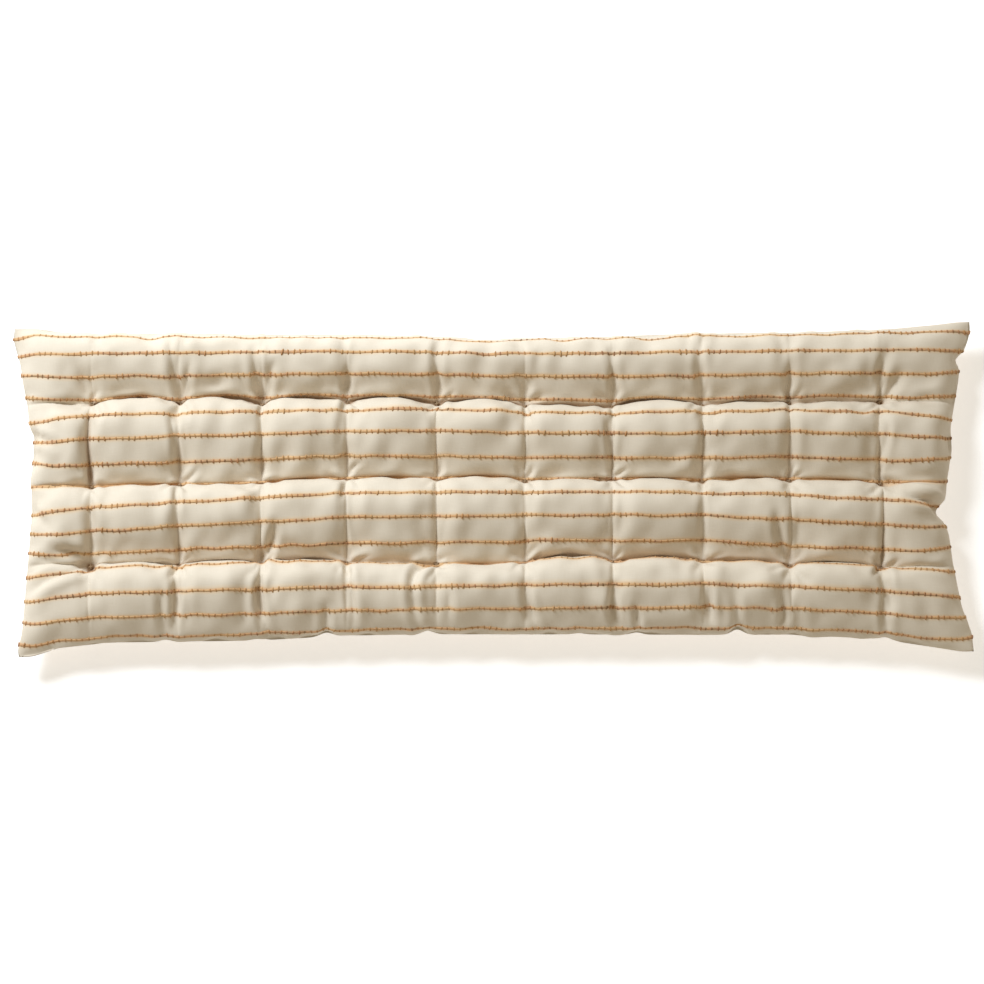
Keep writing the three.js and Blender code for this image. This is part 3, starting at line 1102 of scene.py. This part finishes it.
def threadMaterial():
    material, tree, shader = newMaterial("tieThread")
    place = linkNode(tree, "ShaderNodeTexCoord").outputs["Object"]
    fibres = noiseTexture(tree, place, grain["thread"], 2.0)
    colour = colourRamp(tree, fibres, [(0.3, threadColours["dark"]), (0.7, threadColours["light"])])
    dress(tree, shader, "thread", colour, fibres)
    return material


coverPiece.data.materials.append(clothMaterial())
yarn = yarnMaterial()
yarnNodes = yarnTree()


def makeStripes(side, name):
    paths = stripePaths(side, name + "Paths")
    modifier = paths.modifiers.new("Yarn", "NODES")
    modifier.node_group = yarnNodes
    for key, value in (("Cover", coverPiece), ("Yarn", yarn)):
        modifier[inputKey(yarnNodes, key)] = value
    mesh = plainMesh(paths, name)
    # no yarn goes below the floor
    places = readValues(mesh.vertices, "co", 3)
    places[:, 2] = np.maximum(places[:, 2], 0.0)
    writeValues(mesh.vertices, "co", places)
    return newObject(name, mesh)


upperStripes = makeStripes(1, "stripeYarnUpper")
underStripes = makeStripes(-1, "stripeYarnUnder")
print("stripes woven,", len(upperStripes.data.polygons), "and", len(underStripes.data.polygons), "faces")

# thread ties

# what a user would change on the ties, in metres
tie = {
    "threadRadius": 0.0008,
    "stitchReach": 0.0032,
    "rise": 0.0005,
    "sink": 0.001,             # the ends of a stitch go this far into the cloth
    "turn": 0.4,               # how far the stitches turn from tie to tie, in radians
    "crossAngle": 1.25,
    "tip": 0.45,               # share of the radius at the ends
    "sides": 6,
    "steps": 8,
}


def sweep(path, radius, sides):
    # a closed thread along a path that never stands upright, with its ends drawn in
    path = [Vector(point) for point in path]
    vertices, quads = [], []
    up = Vector((0, 0, 1))
    for number, point in enumerate(path):
        before = path[max(number - 1, 0)]
        after = path[min(number + 1, len(path) - 1)]
        direction = (after - before).normalized()
        first = direction.cross(up).normalized()
        second = direction.cross(first).normalized()
        isTip = number in (0, len(path) - 1)
        reach = radius * (tie["tip"] if isTip else 1.0)
        for corner in range(sides):
            angle = 2 * math.pi * corner / sides
            vertices.append(point + reach * (math.cos(angle) * first + math.sin(angle) * second))
    for ring in range(len(path) - 1):
        for corner in range(sides):
            a = ring * sides + corner
            b = ring * sides + (corner + 1) % sides
            quads.append((a, b, b + sides, a + sides))
    quads.append(tuple(reversed(range(sides))))
    quads.append(tuple(range(len(vertices) - sides, len(vertices))))
    return vertices, quads


def tiePaths(row, column, side):
    # two short stitches that cross over the tuft
    centre = Vector(tiePlace(row, column))
    centre.y -= tiePulls[row][column - 1] / 1000
    centre.z = cover["seamHeight"]
    turn = tie["turn"] * math.sin(column * 2.3 + rowNames.index(row) * 1.7)
    paths = []
    for angle in (turn, turn + tie["crossAngle"]):
        across = Vector((math.cos(angle), math.sin(angle), 0))
        path = []
        for step in range(tie["steps"] + 1):
            share = step / tie["steps"]
            reach = (share - 0.5) * 2 * tie["stitchReach"]
            lift = cover["tieDepth"] - tie["sink"] + tie["rise"] * math.sin(math.pi * share)
            path.append(centre + across * reach + Vector((0, 0, side * lift)))
        paths.append(path)
    return paths


def makeTies():
    vertices, faceList = [], []
    for row in rowNames:
        for column in range(1, columnCount + 1):
            for side in (1, -1):
                for path in tiePaths(row, column, side):
                    newPoints, newFaces = sweep(path, tie["threadRadius"], tie["sides"])
                    start = len(vertices)
                    vertices.extend(newPoints)
                    faceList.extend([tuple(start + corner for corner in face) for face in newFaces])
    mesh = newMesh("tieThreads", vertices, faceList)
    mesh.update()
    shadeSmooth(mesh)
    mesh.materials.append(threadMaterial())
    return newObject("tieThreads", mesh)


tiePiece = makeTies()
print("ties made")

# floor, light and camera

studio = {
    "tilt": 7.0,               # degrees between the view and the cushion's face
    "distance": 4.5,
    "widthInView": 1.23,
    "aimY": -0.0035,
    "sensor": 36.0,
    "skyColour": (1.0, 0.870, 0.655),
    "skyStrength": 0.39,
    "keyColour": (0.865, 0.930, 1.0),
    "keyStrength": 19.4,
    "keySpread": 63.0,
    "keySize": (1.3, 1.0),
    "keyPlace": (-1.9, 2.2, 2.4),
    "keyAim": (-0.20, 0, 0),
    "floorColour": (0.96, 0.965, 0.98),
    "floorGlow": 0.42,         # the white ground gives off a little light of its own
    "floorReach": 9,
}


def makeFloor():
    reach = studio["floorReach"]
    corners = [(-reach, -reach, 0), (reach, -reach, 0), (reach, reach, 0), (-reach, reach, 0)]
    mesh = newMesh("floor", corners, [(0, 1, 2, 3)])
    floor = newObject("floor", mesh)
    material, tree, shader = newMaterial("paleFloor")
    shader.inputs["Base Color"].default_value = (*studio["floorColour"], 1)
    shader.inputs["Emission Color"].default_value = (1, 1, 1, 1)
    shader.inputs["Emission Strength"].default_value = studio["floorGlow"]
    shader.inputs["Roughness"].default_value = 0.9
    mesh.materials.append(material)


def makeLights():
    world = bpy.data.worlds.new("studio")
    scene.world = world
    world.use_nodes = True
    background = world.node_tree.nodes["Background"]
    background.inputs["Color"].default_value = (*studio["skyColour"], 1)
    background.inputs["Strength"].default_value = studio["skyStrength"]
    light = bpy.data.lights.new("key", "AREA")
    light.shape = "RECTANGLE"
    light.size, light.size_y = studio["keySize"]
    light.energy = studio["keyStrength"]
    light.color = studio["keyColour"]
    light.spread = math.radians(studio["keySpread"])
    lamp = newObject("key", light)
    lamp.location = studio["keyPlace"]
    lamp.rotation_euler = (Vector(studio["keyAim"]) - lamp.location).to_track_quat("-Z", "Y").to_euler()


def makeCamera():
    data = bpy.data.cameras.new("camera")
    camera = newObject("camera", data)
    tilt = math.radians(studio["tilt"])
    aim = Vector((0, studio["aimY"], cover["seamHeight"]))
    camera.location = aim + studio["distance"] * Vector((0, -math.sin(tilt), math.cos(tilt)))
    camera.rotation_euler = (tilt, 0, 0)
    data.sensor_width = studio["sensor"]
    data.lens = studio["sensor"] * studio["distance"] / studio["widthInView"]
    data.clip_end = 50
    scene.camera = camera


makeFloor()
makeLights()
makeCamera()
scene.view_settings.view_transform = "Standard"

for piece in (coverPiece, upperStripes, underStripes, tiePiece):
    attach(piece, "root")
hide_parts("cushion")
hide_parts(*[f"tie_{row}_{column}" for row in rowNames for column in range(1, columnCount + 1)])
